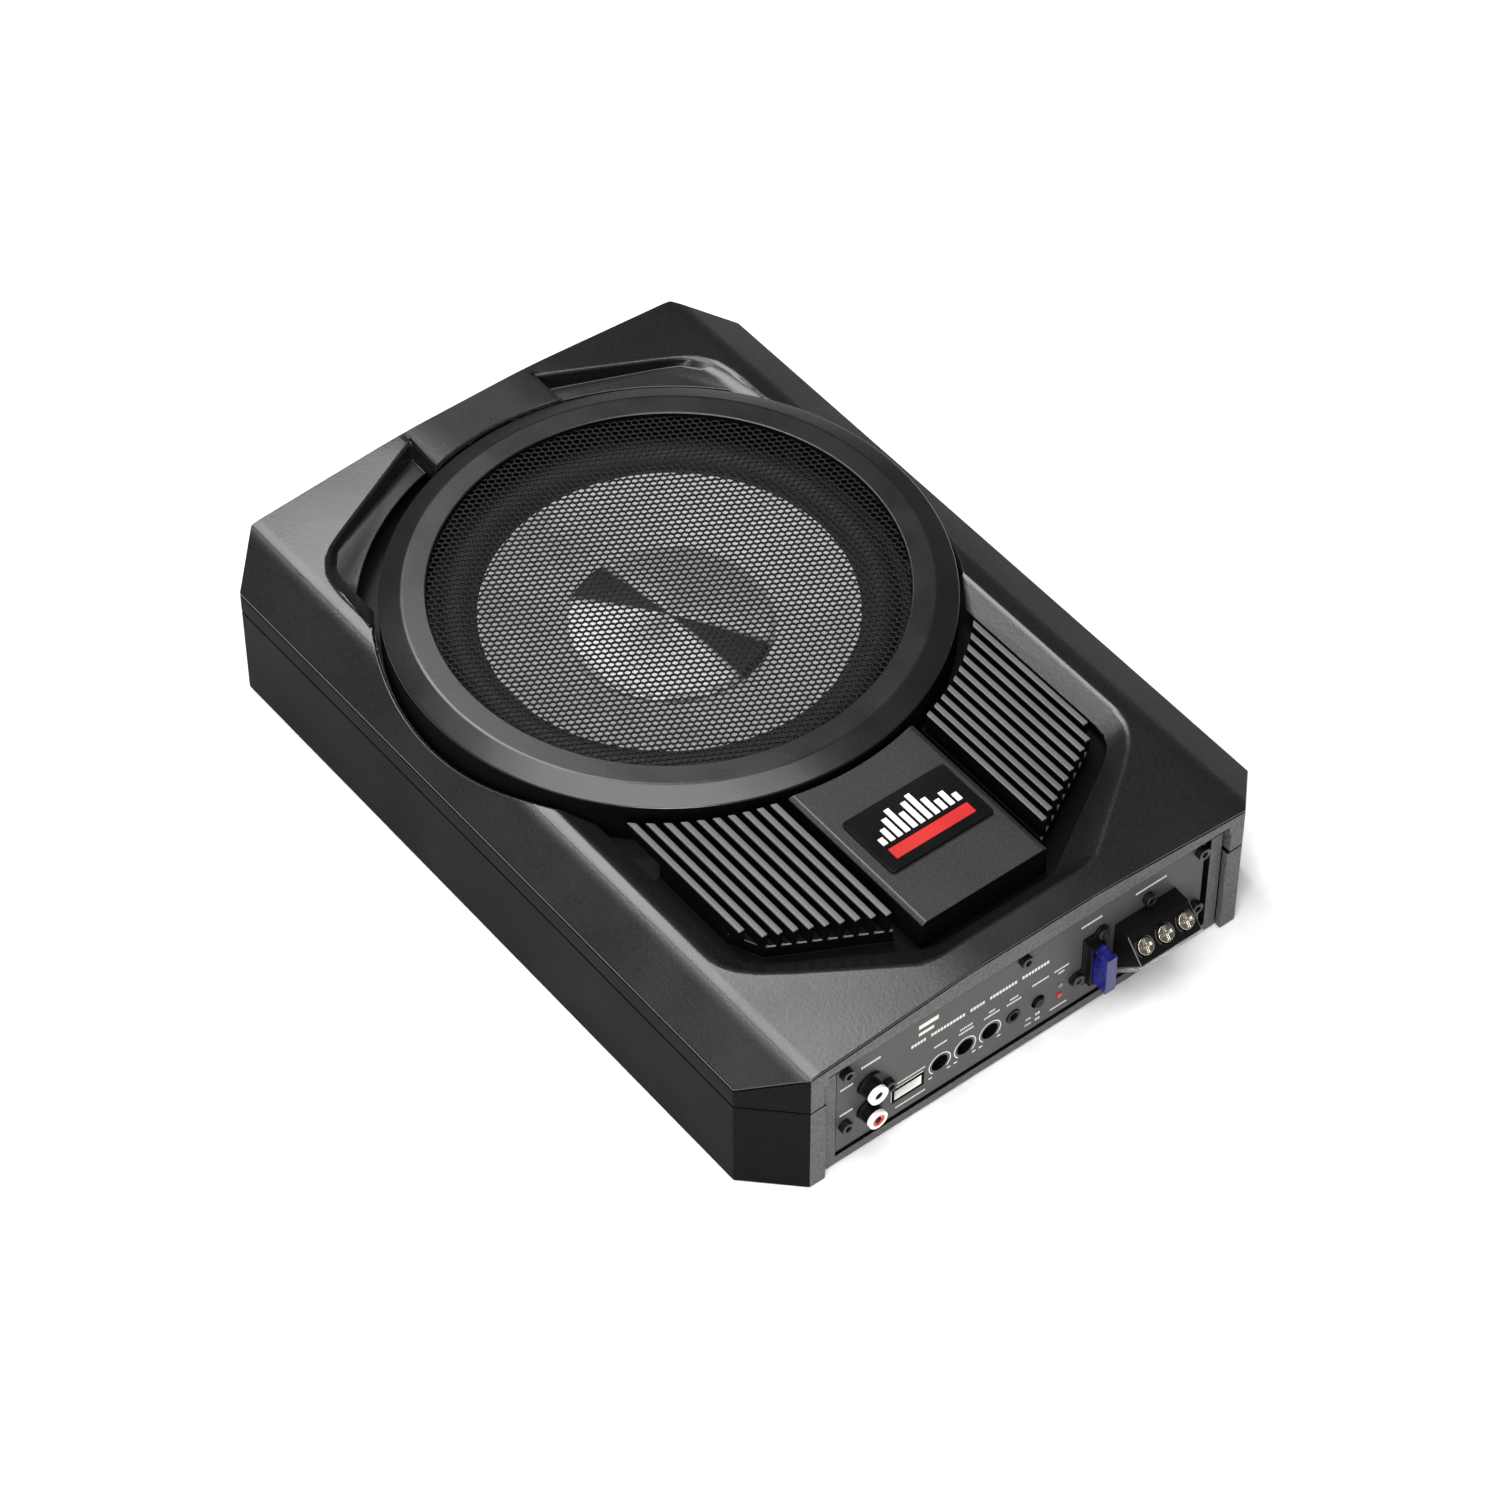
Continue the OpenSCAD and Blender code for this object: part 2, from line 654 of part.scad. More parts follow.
// Blade fuse: clear body with a waist and two metal blades
module fuse() color(blue) placed() {
    difference() {
        block(fuse_x - 2.5, fuse_x + 2.5, panel_face - fuse_reach, panel_face + 4,
            fuse_z - fuse_half, fuse_z + fuse_half);
        for (s = [-1, 1]) translate([0, 0, fuse_z + s * (fuse_half + 0.6)])
            block(fuse_x - 3, fuse_x + 3, panel_face - 8.5, panel_face - 5, -1.2, 1.2);
    }
    for (s = [-1, 1]) block(fuse_x - 0.35, fuse_x + 0.35, panel_face + 3.9, panel_back + 11,
        fuse_z + s * 5.1 - 2.5, fuse_z + s * 5.1 + 2.5);
}

// Three-way screw terminal: screws on the face that slopes up and back, wire
// entries on the face that slopes down and back
nose_y = panel_face - terminal_reach;
foot_y = panel_face - 1.6;
foot_z = 14;
nose_z = foot_z + foot_y - nose_y;
screw_tilt = 47.8;

module side_extrude(x0, x1) {
    translate([x0, 0, 0]) rotate([90, 0, 90]) linear_extrude(height = x1 - x0) children();
}

// Frame at cell x whose z axis points out of the screw face
module on_screw_face(x) {
    translate([x, panel_face - 11.55, 32.65]) rotate([screw_tilt, 0, 0]) children();
}

// Frame at cell x whose z axis points out of the wire face
module on_wire_face(x) {
    translate([x, (nose_y + foot_y) / 2, (nose_z + foot_z) / 2]) rotate([135, 0, 0]) children();
}

module terminal_block() color(black) placed() {
    difference() {
        union() {
            side_extrude(term_x0, term_x1) polygon([[panel_face, 37.6], [panel_face - 7.6, 37],
                [nose_y, 28.3], [nose_y, nose_z], [foot_y, foot_z], [panel_face, foot_z]]);
            block(44.5, 69.5, panel_face - 0.1, panel_back + 8, 17.5, 34.5);
            block(54, 62, panel_back, panel_back + 8, 34, 45);
        }
        for (x = term_xs) {
            on_screw_face(x) translate([0, 0, -1.9]) cylinder(r = 3.9, h = 4);
            on_screw_face(x) translate([0, 0, -7]) cylinder(r = 2.2, h = 6);
            on_wire_face(x) translate([0, 0, -6]) cylinder(r = 2.6, h = 8);
        }
        across(58, 42, 1.55, panel_back - 1, panel_back + 9);
    }
}

// Clear strip along the wire face, with a hole for each wire
module terminal_guard() color([0.85, 0.87, 0.9]) placed() {
    difference() {
        side_extrude(term_x0 - 0.6, term_x1 + 0.6) polygon([[nose_y, nose_z],
            [nose_y, nose_z - 2.2], [foot_y, foot_z - 2.2], [foot_y, foot_z]]);
        for (x = term_xs) on_wire_face(x) translate([0, 0, -1]) cylinder(r = 2.8, h = 5);
    }
}

module terminal_screw(x) {
    on_screw_face(x) difference() {
        union() {
            translate([0, 0, -1.5]) cylinder(r = 3.3, h = 2.5);
            translate([0, 0, -6.4]) cylinder(r = 1.85, h = 5);
        }
        translate([-0.5, -2.6, -0.1]) cube([1, 5.2, 2]);
        translate([-2.6, -0.5, -0.1]) cube([5.2, 1, 2]);
    }
}

module supply_screw() color(steel) placed() terminal_screw(term_xs[0]);

module ground_screw() color(steel) placed() terminal_screw(term_xs[1]);

module turn_on_screw() color(steel) placed() terminal_screw(term_xs[2]);

module circuit_board() color(board_green) placed() {
    difference() {
        block(-80, 80, -163.5, -74, board_low, board_top);
        for (x = standoff_xs, y = standoff_ys) translate([x, y, 5]) cylinder(r = 1.6, h = 10);
    }
}

module capacitors() color(ferrite) placed() {
    for (x = [-4, 20, 44]) translate([x, -128, board_top]) cylinder(r = 10, h = 30);
    for (x = [-68, -52]) translate([x, -142, board_top]) cylinder(r = 6, h = 20);
}

// Wound ring lying on the board
module wound_ring(x, y, r, thick) {
    translate([x, y, board_top + thick]) rotate_extrude() translate([r, 0])
        circle(r = thick, $fn = 48);
}

module toroid() color(copper) placed() wound_ring(-58, -112, 11, 6.5);

module output_coils() color(copper) placed() {
    wound_ring(-28, -122, 7.5, 5);
    wound_ring(67, -118, 7.5, 5);
}

module power_transistors() color(black) placed() {
    for (x = transistor_xs) difference() {
        union() {
            block(x - 7.5, x + 7.5, -94, -89, 28, 44);
            for (dx = [-5, 0, 5]) block(x + dx - 0.5, x + dx + 0.5, -92, -91, board_top, 28.5);
        }
        across(x, transistor_z, 1.5, -95, -88);
    }
}

module transistor_clamp() color(steel) placed() {
    difference() {
        block(-72, 72, -96, -94, 32, 40);
        for (x = transistor_xs) across(x, transistor_z, 1.6, -97, -93);
    }
    for (x = transistor_xs) {
        across(x, transistor_z, 1.4, -96, -84);
        across(x, transistor_z, 2.8, -98, -96);
    }
}

module case_screws() color(steel) placed() {
    for (x = [-1, 1], y = screw_ys) translate([x * screw_x, y, 0]) {
        translate([0, 0, 1.6]) cylinder(r = 3.3, h = 2.4);
        translate([0, 0, 3.9]) cylinder(r = 1.55, h = 45, $fn = 32);
    }
}

// Two leads from the board to the driver's frame
module speaker_leads() color(red) placed() {
    for (x = [-4, 4]) {
        translate([x, -76, board_top]) cylinder(r = 1.1, h = 18, $fn = 24);
        translate([x, -76, board_top + 17]) rotate([-90, 0, 0]) cylinder(r = 1.1, h = 62.4, $fn = 24);
        translate([x, -76, board_top + 17]) sphere(r = 1.4, $fn = 24);
    }
}

lower_tray();
upper_housing();
lid();
baffle_plate();
centre_plate();
badge();
heat_sink();
trim_ring();
grille();
speaker_basket();
driver_screws();
surround();
speaker_cone();
dust_cap();
coil_former();
voice_coil();
spider();
top_plate();
magnet();
yoke();
control_panel();
panel_screws();
input_jack_body();
left_jack_insert();
right_jack_insert();
jack_contacts();
speaker_input_socket();
speaker_input_pins();
gain_trimmer();
boost_trimmer();
crossover_trimmer();
trimmer_housings();
remote_jack();
phase_switch();
phase_button();
power_lamp();
protect_lamp();
fuse_holder();
fuse();
terminal_block();
terminal_guard();
supply_screw();
ground_screw();
turn_on_screw();
circuit_board();
capacitors();
toroid();
output_coils();
power_transistors();
transistor_clamp();
case_screws();
speaker_leads();
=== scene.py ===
"""Looks of a powered under-seat car subwoofer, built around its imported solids.

Metres, +Z up, control panel facing -Y. Small sizes are written in millimetres and
multiplied by MM. Places on the case come from the boxes of its solids.
"""

import math

import bmesh
import bpy
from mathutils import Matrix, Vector


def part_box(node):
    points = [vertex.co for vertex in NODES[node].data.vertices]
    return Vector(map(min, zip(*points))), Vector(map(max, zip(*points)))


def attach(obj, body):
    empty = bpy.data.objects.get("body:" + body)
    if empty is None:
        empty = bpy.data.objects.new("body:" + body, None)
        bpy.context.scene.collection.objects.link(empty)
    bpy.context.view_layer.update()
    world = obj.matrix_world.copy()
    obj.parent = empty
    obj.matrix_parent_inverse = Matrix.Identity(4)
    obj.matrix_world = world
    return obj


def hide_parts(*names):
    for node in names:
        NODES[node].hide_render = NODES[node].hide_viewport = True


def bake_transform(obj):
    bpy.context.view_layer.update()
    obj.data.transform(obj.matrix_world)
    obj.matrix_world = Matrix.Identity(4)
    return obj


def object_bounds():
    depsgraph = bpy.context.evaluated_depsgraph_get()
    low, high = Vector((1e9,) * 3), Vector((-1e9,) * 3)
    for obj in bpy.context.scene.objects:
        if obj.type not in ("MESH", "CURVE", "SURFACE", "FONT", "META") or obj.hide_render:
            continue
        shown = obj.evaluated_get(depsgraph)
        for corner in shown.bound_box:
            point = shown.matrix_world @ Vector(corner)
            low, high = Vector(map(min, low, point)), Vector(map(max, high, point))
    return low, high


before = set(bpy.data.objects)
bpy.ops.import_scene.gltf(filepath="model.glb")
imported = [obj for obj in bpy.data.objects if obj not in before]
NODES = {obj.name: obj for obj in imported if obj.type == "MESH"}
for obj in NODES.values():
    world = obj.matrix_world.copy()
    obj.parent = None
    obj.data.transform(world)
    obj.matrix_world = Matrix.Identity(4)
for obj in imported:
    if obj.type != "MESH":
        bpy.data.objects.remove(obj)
CAD_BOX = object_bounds()

MM = 0.001


# --- Places taken from the solids ------------------------------------------------------

def low(node):
    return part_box(node)[0]


def high(node):
    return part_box(node)[1]


def middle(node):
    return (low(node) + high(node)) / 2


# The case: its middle, its half sizes and the lid's lines, as in the lid's section.
CASE_Y = middle("lid").y
HALF_WIDTH = high("lid").x
HALF_LENGTH = (high("lid").y - low("lid").y) / 2
CROWN_Z = high("lid").z
BEVEL_Z = CROWN_Z - 15.1 * MM
CREASE_Z = CROWN_Z - 5.5 * MM
CORNER_CUT = 19.5 * MM
CREASE_X = HALF_WIDTH - CORNER_CUT
CROWN_X = 30 * MM
BELOW_SEAM_Z = 40 * MM
FRONT_Y = low("upper_housing").y + 12 * MM
PLINTH_Z = CROWN_Z - 8 * MM
RECESS_FLOOR_Z = CROWN_Z - 9 * MM
PANEL_Y = low("control_panel").y
DRIVER = middle("trim_ring")
FLOOR_Z = CAD_BOX[0].z

# Share of the trim ring's radius that the grille's sheet covers.
GRILLE_SHARE = 0.8455

# The surround's half roll and the cap, in millimetres on the driver's axis.
ROLL_RADIUS = 81
ROLL_Z = 57
ROLL_OUTSIDE = 7
ROLL_INSIDE = 6
SECTORS = 16
CAP_TOP = 54.8
CAP_DROP = 2.9
CAP_DOME_RADIUS = 38

# The cap's painted reflection, two dark wedges of a spun-metal bow tie: where they point, and how
# near the axis they begin and end.
PAINTED_SHEEN_AXIS = 110
PAINTED_SHEEN_FADE = 0.95, 0.975

# The badge: level bars over a red band, in millimetres.
BAR_HEIGHTS = (3.5, 6.5, 10, 13, 8.5, 12, 14, 9, 5.5, 7.5, 4)
BAR_PITCH = 3.5
BAR_WIDTH = 2.2
BAR_FOOT = -3
BAND_HALF = 18.5
BAND_LOW, BAND_HIGH = -10.8, -5.4
RELIEF = 0.35

# The panel's print, in millimetres.
INK_HALF = 0.05
RING_RADIUS = 5
RING_LINE_HALF = 0.22


# --- Camera, light and floor -----------------------------------------------------------

# Lens in millimetres, places in metres from the middle of the case's base.
FOCAL_LENGTH = 122.99
SENSOR_WIDTH = 36
CAMERA_PLACE = (-0.8029, -1.0304, 1.4709)
CAMERA_TARGET = (-0.00495, -0.01484, 0.030)
WORLD_LIGHT = 0.1


def aim(thing, target):
    direction = Vector(target) - thing.location
    thing.rotation_euler = direction.to_track_quat("-Z", "Y").to_euler()


def add_camera():
    lens = bpy.data.cameras.new("camera")
    lens.lens = FOCAL_LENGTH
    lens.sensor_width = SENSOR_WIDTH
    camera = bpy.data.objects.new("camera", lens)
    bpy.context.collection.objects.link(camera)
    offset = Vector((0, CASE_Y, 0))
    camera.location = Vector(CAMERA_PLACE) + offset
    aim(camera, Vector(CAMERA_TARGET) + offset)
    bpy.context.scene.camera = camera


def add_softbox(name, place, target, side, power):
    """Square panel light that faces the target."""
    light = bpy.data.lights.new(name, "AREA")
    light.shape = "RECTANGLE"
    light.size = side
    light.size_y = side
    light.energy = power
    lamp = bpy.data.objects.new(name, light)
    bpy.context.collection.objects.link(lamp)
    lamp.location = place
    aim(lamp, target)


def add_studio():
    scene = bpy.context.scene
    scene.view_settings.view_transform = "Standard"
    world = bpy.data.worlds.new("studio")
    world.use_nodes = True
    world.node_tree.nodes["Background"].inputs["Color"].default_value = (1, 1, 1, 1)
    world.node_tree.nodes["Background"].inputs["Strength"].default_value = WORLD_LIGHT
    scene.world = world
    add_softbox("rear_softbox", (0.11, 0.98, 1.6), (0, 0, 0.03), side=0.8, power=18)
    add_softbox("front_softbox", (-0.46, -0.56, 0.3), (-0.1, -0.17, 0.03), side=0.3, power=3.6)
    add_softbox("overhead_softbox", (-0.8, -0.4, 2.9), (-0.1, 0, 0), side=2.9, power=125)


def add_floor():
    mesh = bmesh.new()
    bmesh.ops.create_circle(mesh, cap_ends=True, segments=96, radius=4)
    data = bpy.data.meshes.new("floor")
    mesh.to_mesh(data)
    mesh.free()
    floor = bpy.data.objects.new("floor", data)
    bpy.context.collection.objects.link(floor)
    floor.location.z = FLOOR_Z - 0.3 * MM
    data.materials.append(satin("floor_paper", (0.93, 0.93, 0.93), 0.9, grain=250, relief=0.02))


# --- Materials -------------------------------------------------------------------------

def new_material(name):
    """A material with a node tree, its shader and its object coordinates."""
    material = bpy.data.materials.new(name)
    material.use_nodes = True
    nodes = material.node_tree.nodes
    return material, nodes, material.node_tree.links, nodes["Principled BSDF"]


def noise(nodes, links, scale, detail=2.0, stretch=None):
    place = nodes.new("ShaderNodeTexCoord")
    source = nodes.new("ShaderNodeTexNoise")
    source.inputs["Scale"].default_value = scale
    source.inputs["Detail"].default_value = detail
    if stretch:
        mapping = nodes.new("ShaderNodeMapping")
        mapping.inputs["Scale"].default_value = stretch
        links.new(place.outputs["Object"], mapping.inputs["Vector"])
        links.new(mapping.outputs["Vector"], source.inputs["Vector"])
    else:
        links.new(place.outputs["Object"], source.inputs["Vector"])
    return source.outputs["Fac"]


def ranged(nodes, links, value, lowest, highest):
    """The middle of a noise's range, spread from lowest to highest."""
    spread = nodes.new("ShaderNodeMapRange")
    spread.inputs["From Min"].default_value = 0.3
    spread.inputs["From Max"].default_value = 0.7
    spread.inputs["To Min"].default_value = lowest
    spread.inputs["To Max"].default_value = highest
    links.new(value, spread.inputs["Value"])
    return spread.outputs["Result"]


def tinted(nodes, links, colour, value, spread):
    """The colour, from darker to lighter by spread as value goes from 0 to 1."""
    mix = nodes.new("ShaderNodeMix")
    mix.data_type = "RGBA"
    mix.inputs[6].default_value = [c * (1 - spread) for c in colour] + [1]
    mix.inputs[7].default_value = [min(1, c * (1 + spread)) for c in colour] + [1]
    links.new(value, mix.inputs[0])
    return mix.outputs[2]


def bumped(nodes, links, shader, value, strength, depth=0.1 * MM):
    bump = nodes.new("ShaderNodeBump")
    bump.inputs["Strength"].default_value = strength
    bump.inputs["Distance"].default_value = depth
    links.new(value, bump.inputs["Height"])
    links.new(bump.outputs["Normal"], shader.inputs["Normal"])


def satin(name, colour, roughness, grain=1400, relief=0.3, metallic=0.0, spread=0.12,
          specular=0.5, coat=0.0, stretch=None):
    """Moulded plastic, paint or plain metal: mottled colour, fine grain, uneven gloss."""
    material, nodes, links, shader = new_material(name)
    fine = noise(nodes, links, grain, 3, stretch)
    broad = noise(nodes, links, 38, 4)
    links.new(tinted(nodes, links, colour, ranged(nodes, links, broad, 0, 1), spread),
              shader.inputs["Base Color"])
    links.new(ranged(nodes, links, broad, roughness - 0.04, roughness + 0.05),
              shader.inputs["Roughness"])
    shader.inputs["Metallic"].default_value = metallic
    shader.inputs["Specular IOR Level"].default_value = specular
    shader.inputs["Coat Weight"].default_value = coat
    bumped(nodes, links, shader, fine, relief)
    return material


def textured_shell(name, colour, roughness, relief=0.2, specular=0.5):
    """Spark-textured plastic: fine pits and speckle, with gloss that drifts slowly."""
    material, nodes, links, shader = new_material(name)
    fine = noise(nodes, links, 1000, 4)
    pits = noise(nodes, links, 620, 2)
    broad = noise(nodes, links, 24, 4)
    both = nodes.new("ShaderNodeMath")
    both.operation = "MULTIPLY"
    links.new(fine, both.inputs[0])
    links.new(pits, both.inputs[1])
    speckle = tinted(nodes, links, colour, ranged(nodes, links, fine, 0, 1), 0.45)
    links.new(speckle, shader.inputs["Base Color"])
    links.new(ranged(nodes, links, broad, roughness - 0.03, roughness + 0.04),
              shader.inputs["Roughness"])
    shader.inputs["Specular IOR Level"].default_value = specular
    bumped(nodes, links, shader, both.outputs[0], relief, 0.25 * MM)
    return material


def spun_metal(name, centre):
    """Bare metal turned on a lathe: fine rings about the axis, and two dark wedges of painted
    reflection in its colour.
    """
    material, nodes, links, shader = new_material(name)
    place = nodes.new("ShaderNodeTexCoord")
    move = nodes.new("ShaderNodeMapping")
    move.inputs["Location"].default_value = (-centre.x, -centre.y, 0)
    links.new(place.outputs["Object"], move.inputs["Vector"])
    rings = nodes.new("ShaderNodeTexWave")
    rings.wave_type = "RINGS"
    rings.rings_direction = "Z"
    rings.inputs["Scale"].default_value = 420
    rings.inputs["Distortion"].default_value = 1.5
    rings.inputs["Detail"].default_value = 3
    links.new(move.outputs["Vector"], rings.inputs["Vector"])
    turn = nodes.new("ShaderNodeMapping")
    turn.inputs["Rotation"].default_value = (0, 0, math.radians(-PAINTED_SHEEN_AXIS))
    turn.inputs["Scale"].default_value = (1, 1, 0)
    links.new(move.outputs["Vector"], turn.inputs["Vector"])
    unit = nodes.new("ShaderNodeVectorMath")
    unit.operation = "NORMALIZE"
    links.new(turn.outputs["Vector"], unit.inputs[0])
    split = nodes.new("ShaderNodeSeparateXYZ")
    links.new(unit.outputs["Vector"], split.inputs["Vector"])
    along = nodes.new("ShaderNodeMath")
    along.operation = "ABSOLUTE"
    links.new(split.outputs["X"], along.inputs[0])
    painted_sheen_wedge = nodes.new("ShaderNodeMapRange")
    painted_sheen_wedge.inputs["From Min"].default_value = PAINTED_SHEEN_FADE[0]
    painted_sheen_wedge.inputs["From Max"].default_value = PAINTED_SHEEN_FADE[1]
    links.new(along.outputs[0], painted_sheen_wedge.inputs["Value"])
    mix = nodes.new("ShaderNodeMix")
    mix.data_type = "RGBA"
    # Near-black colour of the painted reflection wedges.
    mix.inputs[7].default_value = (0.03, 0.03, 0.03, 1)
    links.new(painted_sheen_wedge.outputs["Result"], mix.inputs[0])
    links.new(tinted(nodes, links, (0.72, 0.72, 0.72), rings.outputs["Fac"], 0.08),
              mix.inputs[6])
    links.new(mix.outputs[2], shader.inputs["Base Color"])
    shader.inputs["Metallic"].default_value = 0.45
    shader.inputs["Roughness"].default_value = 0.4
    shader.inputs["Anisotropic"].default_value = 0.7
    tangent = nodes.new("ShaderNodeTangent")
    tangent.direction_type = "RADIAL"
    tangent.axis = "Z"
    links.new(tangent.outputs["Tangent"], shader.inputs["Tangent"])
    bumped(nodes, links, shader, rings.outputs["Fac"], 0.15, 0.03 * MM)
    return material


def clear(name, colour, roughness, transmission=0.9, spread=0.1):
    """Tinted see-through plastic with faint flow marks; a wide spread also paints highlights into
    the colour.
    """
    material, nodes, links, shader = new_material(name)
    flow_and_sheen = noise(nodes, links, 220, 3)
    links.new(tinted(nodes, links, colour, ranged(nodes, links, flow_and_sheen, 0, 1), spread),
              shader.inputs["Base Color"])
    links.new(ranged(nodes, links, flow_and_sheen, roughness, roughness + 0.06),
              shader.inputs["Roughness"])
    shader.inputs["Transmission Weight"].default_value = transmission
    shader.inputs["IOR"].default_value = 1.49
    bumped(nodes, links, shader, flow_and_sheen, 0.2)
    return material


def jack_face(name, centre):
    """Red moulding with a white rim, about the axis of a jack that faces -Y."""
    material, nodes, links, shader = new_material(name)
    place = nodes.new("ShaderNodeTexCoord")
    move = nodes.new("ShaderNodeVectorMath")
    move.operation = "SUBTRACT"
    move.inputs[1].default_value = centre
    links.new(place.outputs["Object"], move.inputs[0])
    flat = nodes.new("ShaderNodeVectorMath")
    flat.operation = "MULTIPLY"
    flat.inputs[1].default_value = (1, 0, 1)
    links.new(move.outputs["Vector"], flat.inputs[0])
    radius = nodes.new("ShaderNodeVectorMath")
    radius.operation = "LENGTH"
    links.new(flat.outputs["Vector"], radius.inputs[0])
    rim = nodes.new("ShaderNodeMapRange")
    rim.inputs["From Min"].default_value = 2.5 * MM
    rim.inputs["From Max"].default_value = 2.9 * MM
    links.new(radius.outputs["Value"], rim.inputs["Value"])
    mix = nodes.new("ShaderNodeMix")
    mix.data_type = "RGBA"
    mix.inputs[6].default_value = (0.55, 0.02, 0.015, 1)
    mix.inputs[7].default_value = (0.8, 0.76, 0.74, 1)
    links.new(rim.outputs["Result"], mix.inputs[0])
    links.new(mix.outputs[2], shader.inputs["Base Color"])
    shader.inputs["Roughness"].default_value = 0.35
    bumped(nodes, links, shader, noise(nodes, links, 900), 0.1)
    return material


def wound_wire(name, colour):
    """Enamelled wire wound closely: ridges from a wave texture."""
    material, nodes, links, shader = new_material(name)
    place = nodes.new("ShaderNodeTexCoord")
    turns = nodes.new("ShaderNodeTexWave")
    turns.inputs["Scale"].default_value = 500
    turns.inputs["Distortion"].default_value = 2
    links.new(place.outputs["Object"], turns.inputs["Vector"])
    links.new(tinted(nodes, links, colour, turns.outputs["Fac"], 0.3), shader.inputs["Base Color"])
    shader.inputs["Metallic"].default_value = 0.8
    shader.inputs["Roughness"].default_value = 0.35
    bumped(nodes, links, shader, turns.outputs["Fac"], 0.6, 0.2 * MM)
    return material


def woven(name, colour):
    """Impregnated cloth: two crossed waves."""
    material, nodes, links, shader = new_material(name)
    place = nodes.new("ShaderNodeTexCoord")
    both = nodes.new("ShaderNodeMath")
    both.operation = "MAXIMUM"
    for i, direction in enumerate(("X", "Y")):
        threads = nodes.new("ShaderNodeTexWave")
        threads.bands_direction = direction
        threads.inputs["Scale"].default_value = 320
        links.new(place.outputs["Object"], threads.inputs["Vector"])
        links.new(threads.outputs["Fac"], both.inputs[i])
    links.new(tinted(nodes, links, colour, both.outputs[0], 0.25), shader.inputs["Base Color"])
    shader.inputs["Roughness"].default_value = 0.85
    bumped(nodes, links, shader, both.outputs[0], 0.6, 0.2 * MM)
    return material


def make_materials():
    """One material for each slot that the record names, and a few of the visual model's own."""
    return {
        "case_paint": textured_shell("case_plastic", (0.004, 0.0037, 0.0035), 0.5, specular=0.03),
        "lid_paint": textured_shell("lid_plastic", (0.008, 0.0078, 0.0078), 0.27, specular=0.6),
        # Lighter copy of the lid plastic: painted light on the centre plate's top.
        "plate_paint": textured_shell("lid_plastic_painted_lit_top", (0.02, 0.0195, 0.0195), 0.3),
        "ring_paint": satin("ring_plastic", (0.008, 0.0078, 0.0078), 0.27, 1700, 0.2,
                            specular=0.6),
        # Lighter copy of the case plastic: painted light on its front faces.
        "front_frame": textured_shell("case_plastic_painted_lit_front", (0.07, 0.067, 0.064), 0.45, specular=0.25),
        "black_metal": satin("black_coated_steel", (0.005, 0.005, 0.005), 0.45, 2200, 0.2,
                             specular=0.2),
        "heat_sink": satin("black_anodised", (0.002, 0.002, 0.002), 0.5, 1800, 0.08,
                           specular=0.06),
        # Lighter copy of the black anodising: painted highlights on edges.
        "fin_edge": satin("anodised_painted_highlight", (0.1, 0.099, 0.098), 0.35, 1800, 0.1),
        "panel_paint": satin("panel_paint", (0.055, 0.053, 0.051), 0.45, 900, 0.3, specular=0.25),
        "black_steel": satin("black_oxide", (0.006, 0.006, 0.006), 0.3, 2200, 0.2,
                             metallic=0.2),
        "black_plastic": satin("black_moulding", (0.004, 0.0038, 0.0038), 0.36, 1700, 0.2,
                               specular=0.15),
        "badge": satin("badge_black", (0.004, 0.004, 0.004), 0.25, 1800, 0.06, specular=0.15),
        "silver_cone": satin("silver_cone", (0.6, 0.6, 0.59), 0.5, 900, 0.3, metallic=0.2),
        "spun_metal": spun_metal("spun_metal", DRIVER),
        "rubber": satin("rubber", (0.016, 0.016, 0.016), 0.6, 900, 0.35),
        "cloth": woven("treated_cloth", (0.42, 0.27, 0.09)),
        "kapton": satin("amber_film", (0.42, 0.2, 0.04), 0.3, 700, 0.1, coat=0.3),
        "copper": wound_wire("enamelled_wire", (0.6, 0.24, 0.09)),
        "steel": satin("zinc_plate", (0.52, 0.52, 0.5), 0.34, 1300, 0.2, metallic=1),
        "ferrite": satin("ferrite", (0.05, 0.05, 0.052), 0.62, 800, 0.5),
        "nickel": satin("nickel_plate", (0.72, 0.68, 0.58), 0.24, 1500, 0.12, metallic=1),
        "white_plastic": satin("white_moulding", (0.8, 0.8, 0.78), 0.35, 900, 0.1,
                               spread=0.04),
        "red_plastic": satin("red_moulding", (0.4, 0.02, 0.015), 0.35, 900, 0.1),
        "clear_plastic": clear("clear_strip", (0.93, 0.95, 0.95), 0.12, 0.85, 0.03),
        "clear_lamp": clear("clear_lamp", (0.9, 0.9, 0.88), 0.1),
        # Wide colour spread: painted highlights in the fuse's blue.
        "fuse_blue": clear("fuse_blue", (0.022, 0.024, 0.24), 0.12, 0.45, 0.8),
        "board": satin("circuit_board", (0.015, 0.09, 0.04), 0.4, 600, 0.3, coat=0.3),
        "jack_face": jack_face("red_and_white_moulding", middle("right_jack_insert")),
        "white_ink": satin("white_ink", (0.62, 0.62, 0.6), 0.55, 2500, 0.1, spread=0.08),
        "red_ink": satin("red_ink", (0.5, 0.012, 0.01), 0.35, 1500, 0.06),
        "white_enamel": satin("white_enamel", (0.85, 0.85, 0.85), 0.25, 1200, 0.05,
                              spread=0.03),
        # Near-black painted shade for hollows, gaps and walls turned from the light.
        "painted_shade": satin("painted_shade", (0.002, 0.002, 0.002), 0.8, 900, 0.3, specular=0.04),
    }


# --- Mesh tools ------------------------------------------------------------------------

def smoothed(data, angle=40):
    for face in data.polygons:
        face.use_smooth = True
    data.set_sharp_from_angle(angle=math.radians(angle))


